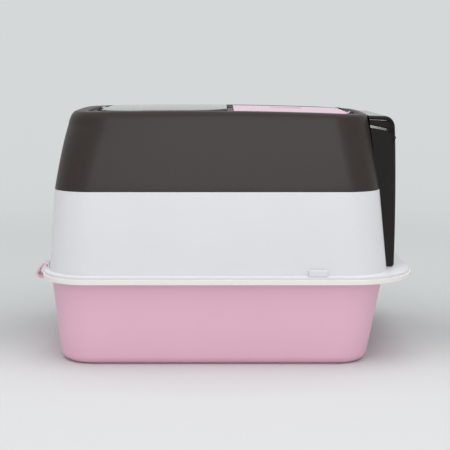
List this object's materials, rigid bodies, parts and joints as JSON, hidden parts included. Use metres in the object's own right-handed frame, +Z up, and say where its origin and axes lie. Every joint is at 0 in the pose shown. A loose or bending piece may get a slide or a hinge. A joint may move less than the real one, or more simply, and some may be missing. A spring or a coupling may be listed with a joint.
{
  "type": "hooded litter box",
  "caption": "Tapered litter pan with a clip-on rim ring, a two-part hood with roof lids and a carbon filter tray, and an entry porch with a swinging flap.",
  "frame": {"origin": "on the floor, under the middle of the overall length and width", "axes": "+X towards the entry porch, +Y towards the left side as the cat comes out, +Z up"},
  "size_m": [0.571, 0.42, 0.3765],
  "materials": {
    "pan_pink": "satin moulded",
    "ring_cream": "satin moulded",
    "band_white": "satin moulded",
    "shell_smoky": "satin translucent",
    "porch_smoky": "high gloss",
    "clear_smoky": "clear tinted gloss",
    "lid_pink": "semi-gloss moulded",
    "clip_pink": "semi-gloss moulded",
    "pad_charcoal": "open carbon foam",
    "pin_steel": "drawn wire"
  },
  "bodies": {
    "pan": {"litter_pan": "pan_pink"},
    "ring": {"rim_ring": "ring_cream"},
    "hood": {"hood_band": "band_white", "hood_shell": "shell_smoky", "entry_porch": "porch_smoky", "flap_pivot_left": "porch_smoky", "flap_pivot_right": "porch_smoky", "flap_rod": "pin_steel", "filter_tray": "shell_smoky", "filter_pad": "pad_charcoal", "rear_lid_pin": "pin_steel", "front_lid_pin_left": "pin_steel", "front_lid_pin_right": "pin_steel", "rear_clip_pin_left": "pin_steel", "rear_clip_pin_right": "pin_steel"},
    "flap": {"door_flap": "clear_smoky"},
    "roof_lid_rear": {"rear_lid": "clear_smoky"},
    "roof_lid_front": {"front_lid": "lid_pink"},
    "lock_left": {"side_lock_left": "band_white"},
    "lock_right": {"side_lock_right": "band_white"},
    "clip_left": {"rear_clip_left": "clip_pink"},
    "clip_right": {"rear_clip_right": "clip_pink"}
  },
  "joints": [
    {"name": "ring_lift", "type": "slide", "parent": "pan", "child": "ring", "axis": [0, 0, 1], "range_m": [0, 0.12]},
    {"name": "hood_lift", "type": "slide", "parent": "ring", "child": "hood", "axis": [0, 0, 1], "range_m": [0, 0.12]},
    {"name": "flap_swing", "type": "hinge", "parent": "hood", "child": "flap", "pos_m": [0.25594, 0, 0.332], "axis": [0, 1, 0], "range_deg": [-45, 75]},
    {"name": "rear_lid_open", "type": "hinge", "parent": "hood", "child": "roof_lid_rear", "pos_m": [-0.1945, 0, 0.37243], "axis": [0, -1, 0], "range_deg": [0, 100]},
    {"name": "front_lid_open", "type": "hinge", "parent": "hood", "child": "roof_lid_front", "pos_m": [0.1935, 0, 0.36806], "axis": [0, 1, 0], "range_deg": [0, 100]},
    {"name": "lock_left_slide", "type": "slide", "parent": "hood", "child": "lock_left", "axis": [1, 0, 0], "range_m": [0, 0.01]},
    {"name": "lock_right_slide", "type": "slide", "parent": "hood", "child": "lock_right", "axis": [1, 0, 0], "range_m": [0, 0.01]},
    {"name": "clip_left_open", "type": "hinge", "parent": "hood", "child": "clip_left", "pos_m": [-0.268, 0.118, 0.1403], "axis": [0, 1, 0], "range_deg": [0, 70]},
    {"name": "clip_right_open", "type": "hinge", "parent": "hood", "child": "clip_right", "pos_m": [-0.268, -0.118, 0.1403], "axis": [0, 1, 0], "range_deg": [0, 70]}
  ]
}
